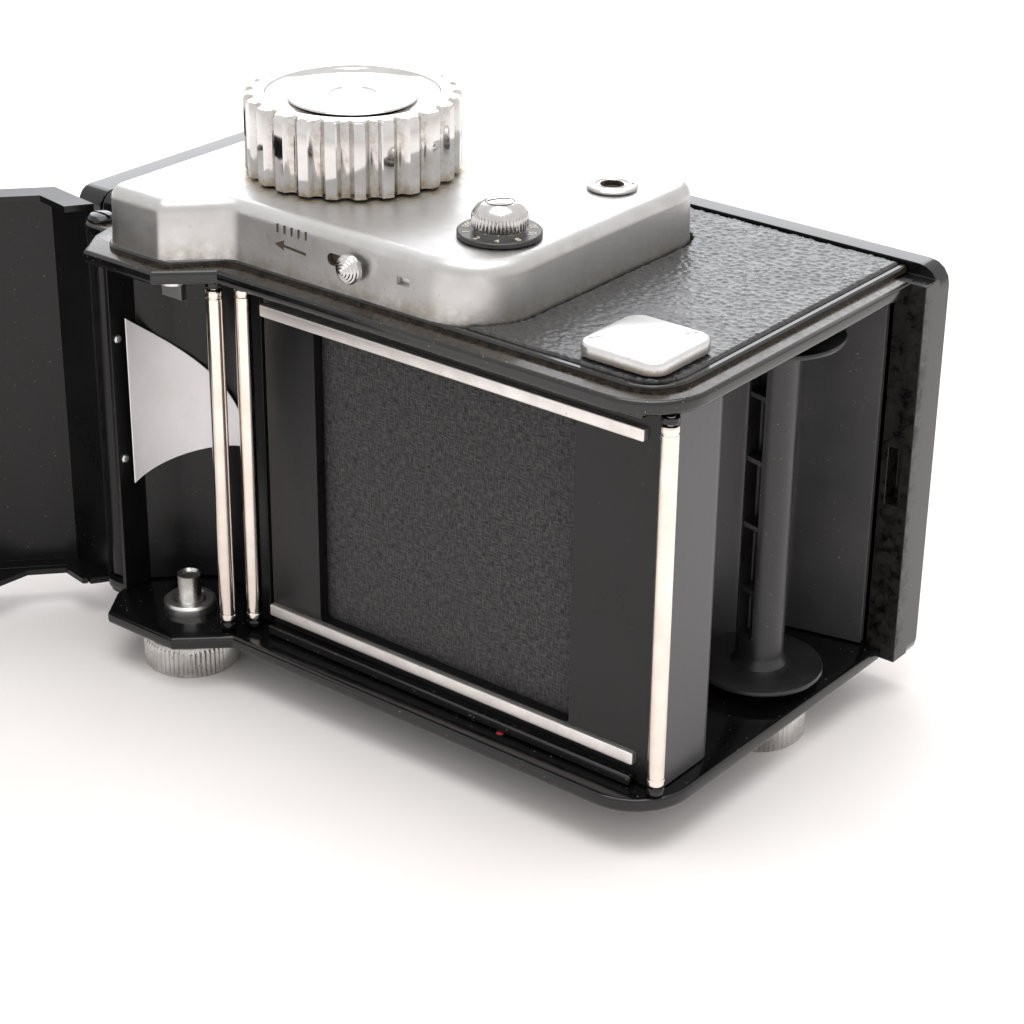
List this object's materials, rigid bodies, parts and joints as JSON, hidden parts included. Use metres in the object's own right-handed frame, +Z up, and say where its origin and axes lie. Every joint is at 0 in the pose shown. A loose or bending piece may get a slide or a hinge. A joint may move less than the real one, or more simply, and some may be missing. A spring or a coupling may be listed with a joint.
{
  "type": "twin lens reflex camera",
  "caption": "Boxy roll-film reflex camera with two lenses one above the other, a folding waist-level hood and a hinged back standing open.",
  "frame": {"origin": "under the middle of the whole object with its back open, on the surface that the camera's left side lies on", "axes": "+X from the camera's top towards its bottom, +Y from its back towards its lenses, +Z up, from its left side towards its right side"},
  "size_m": [0.217, 0.2407, 0.1075],
  "materials": {
    "black_enamel": "gloss black enamel",
    "matte_black": "matt black paint",
    "leatherette": "black grained leatherette",
    "satin_chrome": "satin chrome",
    "bright_chrome": "bright chrome",
    "polished_nickel": "polished nickel",
    "spring_steel": "polished spring steel",
    "brass": "turned brass",
    "black_cloth": "rubberised black woven cloth",
    "black_plastic": "moulded black plastic",
    "dial_black": "black lacquer with light numerals",
    "lens_glass": "coated optical glass",
    "screen_glass": "ground glass",
    "mirror_silver": "front-silvered mirror"
  },
  "bodies": {
    "camera_body": {"right_side_plate": "black_enamel", "left_side_plate": "black_enamel", "right_leather": "leatherette", "left_leather": "leatherette", "film_gate": "matte_black", "dark_chamber": "matte_black", "gate_blind": "black_cloth", "supply_chamber_wall": "matte_black", "takeup_chamber_wall": "matte_black", "takeup_leaf_spring": "spring_steel", "supply_leaf_spring": "spring_steel", "front_shell": "black_enamel", "top_deck": "black_enamel", "focusing_screen": "screen_glass", "viewing_mirror": "mirror_silver", "wind_housing": "satin_chrome", "release_socket": "bright_chrome", "square_cap": "satin_chrome", "supply_stub_pin": "satin_chrome", "hinge_pin": "satin_chrome", "hood_base": "black_enamel"},
    "back": {"back_door": "black_enamel", "door_leather": "leatherette", "pressure_spring": "spring_steel", "tripod_socket": "satin_chrome"},
    "pressure_plate": {"pressure_plate": "matte_black"},
    "back_latch": {"back_latch": "satin_chrome"},
    "wind_knob": {"wind_knob": "bright_chrome", "wind_gear": "brass"},
    "idler_gear": {"idler_gear": "brass"},
    "takeup_spindle": {"takeup_spindle": "satin_chrome"},
    "speed_dial": {"speed_dial": "dial_black"},
    "reset_button": {"reset_button": "bright_chrome"},
    "supply_spool": {"supply_spool": "black_plastic"},
    "takeup_pull_knob": {"takeup_pull_knob": "satin_chrome"},
    "supply_pull_knob": {"supply_pull_knob": "satin_chrome"},
    "upper_film_roller": {"upper_film_roller": "polished_nickel"},
    "middle_film_roller": {"middle_film_roller": "polished_nickel"},
    "lower_film_roller": {"lower_film_roller": "polished_nickel"},
    "blind_roller": {"blind_roller": "satin_chrome"},
    "focus_knob": {"focus_knob": "satin_chrome", "focus_pinion": "brass"},
    "lens_board": {"lens_board": "black_enamel", "focus_rack": "brass", "shutter_housing": "satin_chrome", "taking_lens_barrel": "black_enamel", "viewing_lens_barrel": "black_enamel", "taking_lens_glass": "lens_glass", "viewing_lens_glass": "lens_glass"},
    "speed_ring": {"speed_ring": "bright_chrome"},
    "aperture_lever": {"aperture_lever": "bright_chrome"},
    "cocking_lever": {"cocking_lever": "bright_chrome"},
    "release_button": {"release_button": "bright_chrome"},
    "hood_lid": {"hood_lid": "black_enamel"},
    "hood_back_panel": {"hood_back_panel": "matte_black"},
    "hood_right_panel": {"hood_right_panel": "matte_black"},
    "hood_left_panel": {"hood_left_panel": "matte_black"},
    "magnifier": {"magnifier_frame": "black_enamel", "magnifier_lens": "lens_glass"}
  },
  "joints": [
    {"name": "back_hinge", "type": "hinge", "parent": "camera_body", "child": "back", "pos_m": [-0.022, 0.0204, 0.045], "axis": [0, 0, 1], "range_deg": [0, 132]},
    {"name": "pressure_plate_travel", "type": "slide", "parent": "back", "child": "pressure_plate", "axis": [-0.7431, 0.6691, 0], "range_m": [0, 0.001], "stiffness_N_per_m": 400},
    {"name": "back_latch_slide", "type": "slide", "parent": "back", "child": "back_latch", "axis": [0.7431, -0.6691, 0], "range_m": [0, 0.0035]},
    {"name": "wind_knob_turn", "type": "hinge", "parent": "camera_body", "child": "wind_knob", "pos_m": [0.0163, 0.0457, 0.093], "axis": [0, 0, 1], "continuous": true},
    {"name": "idler_gear_turn", "type": "hinge", "parent": "camera_body", "child": "idler_gear", "pos_m": [0.00517, 0.02978, 0.086], "axis": [0, 0, 1], "continuous": true},
    {"name": "takeup_spindle_turn", "type": "hinge", "parent": "camera_body", "child": "takeup_spindle", "pos_m": [-0.0025, 0.0188, 0.083], "axis": [0, 0, 1], "continuous": true},
    {"name": "speed_dial_turn", "type": "hinge", "parent": "camera_body", "child": "speed_dial", "pos_m": [0.05775, 0.0349, 0.094], "axis": [0, 0, 1], "range_deg": [0, 300]},
    {"name": "reset_button_slide", "type": "slide", "parent": "camera_body", "child": "reset_button", "axis": [-1, 0, 0], "range_m": [0, 0.0045], "stiffness_N_per_m": 60},
    {"name": "supply_spool_turn", "type": "hinge", "parent": "camera_body", "child": "supply_spool", "pos_m": [0.094, 0.0643, 0.045], "axis": [0, 0, 1], "continuous": true},
    {"name": "takeup_pull", "type": "slide", "parent": "camera_body", "child": "takeup_pull_knob", "axis": [0, 0, -1], "range_m": [0, 0.004], "stiffness_N_per_m": 200},
    {"name": "supply_pull", "type": "slide", "parent": "camera_body", "child": "supply_pull_knob", "axis": [0, 0, -1], "range_m": [0, 0.004], "stiffness_N_per_m": 200},
    {"name": "upper_roller_turn", "type": "hinge", "parent": "camera_body", "child": "upper_film_roller", "pos_m": [0.0091, 0.0171, 0.045], "axis": [0, 0, 1], "continuous": true},
    {"name": "middle_roller_turn", "type": "hinge", "parent": "camera_body", "child": "middle_film_roller", "pos_m": [0.0123, 0.0208, 0.045], "axis": [0, 0, 1], "continuous": true},
    {"name": "lower_roller_turn", "type": "hinge", "parent": "camera_body", "child": "lower_film_roller", "pos_m": [0.10254, 0.02095, 0.045], "axis": [0, 0, 1], "continuous": true},
    {"name": "blind_roller_turn", "type": "hinge", "parent": "camera_body", "child": "blind_roller", "pos_m": [0.0205, 0.0277, 0.045], "axis": [0, 0, 1], "continuous": true},
    {"name": "focus_knob_turn", "type": "hinge", "parent": "camera_body", "child": "focus_knob", "pos_m": [0.044, 0.0654, 0.005], "axis": [0, 0, 1], "range_deg": [0, 239]},
    {"name": "lens_board_travel", "type": "slide", "parent": "camera_body", "child": "lens_board", "axis": [0, 1, 0], "range_m": [0, 0.01]},
    {"name": "speed_ring_turn", "type": "hinge", "parent": "lens_board", "child": "speed_ring", "pos_m": [0.056, 0.1034, 0.045], "axis": [0, 1, 0], "range_deg": [0, 140]},
    {"name": "aperture_lever_turn", "type": "hinge", "parent": "lens_board", "child": "aperture_lever", "pos_m": [0.056, 0.1064, 0.045], "axis": [0, 1, 0], "range_deg": [0, 60]},
    {"name": "cocking_lever_turn", "type": "hinge", "parent": "lens_board", "child": "cocking_lever", "pos_m": [0.056, 0.1004, 0.045], "axis": [0, 1, 0], "range_deg": [0, 55], "stiffness_Nm_per_rad": 0.002},
    {"name": "release_button_press", "type": "slide", "parent": "lens_board", "child": "release_button", "axis": [0, -1, 0], "range_m": [0, 0.0022], "stiffness_N_per_m": 150},
    {"name": "hood_lid_lift", "type": "hinge", "parent": "camera_body", "child": "hood_lid", "pos_m": [-0.0325, 0.0889, 0.045], "axis": [0, 0, -1], "range_deg": [0, 90]},
    {"name": "hood_back_panel_lift", "type": "hinge", "parent": "camera_body", "child": "hood_back_panel", "pos_m": [-0.03145, 0.0318, 0.045], "axis": [0, 0, 1], "range_deg": [0, 90]},
    {"name": "hood_right_panel_lift", "type": "hinge", "parent": "camera_body", "child": "hood_right_panel", "pos_m": [-0.02995, 0.0584, 0.0799], "axis": [0, 1, 0], "range_deg": [0, 90]},
    {"name": "hood_left_panel_lift", "type": "hinge", "parent": "camera_body", "child": "hood_left_panel", "pos_m": [-0.02995, 0.0584, 0.0101], "axis": [0, -1, 0], "range_deg": [0, 90]},
    {"name": "magnifier_swing", "type": "hinge", "parent": "hood_lid", "child": "magnifier", "pos_m": [-0.0338, 0.0629, 0.045], "axis": [0, 0, 1], "range_deg": [0, 90]}
  ],
  "couplings": [
    {"joint": "idler_gear_turn", "follows": "wind_knob_turn", "ratio": -1.6364},
    {"joint": "takeup_spindle_turn", "follows": "wind_knob_turn", "ratio": 2},
    {"joint": "focus_knob_turn", "follows": "lens_board_travel", "rad_per_m": 416.67},
    {"joint": "hood_back_panel_lift", "follows": "hood_lid_lift", "ratio": 1},
    {"joint": "hood_right_panel_lift", "follows": "hood_lid_lift", "ratio": 1},
    {"joint": "hood_left_panel_lift", "follows": "hood_lid_lift", "ratio": 1},
    {"joint": "magnifier_swing", "follows": "hood_lid_lift", "ratio": 1}
  ]
}
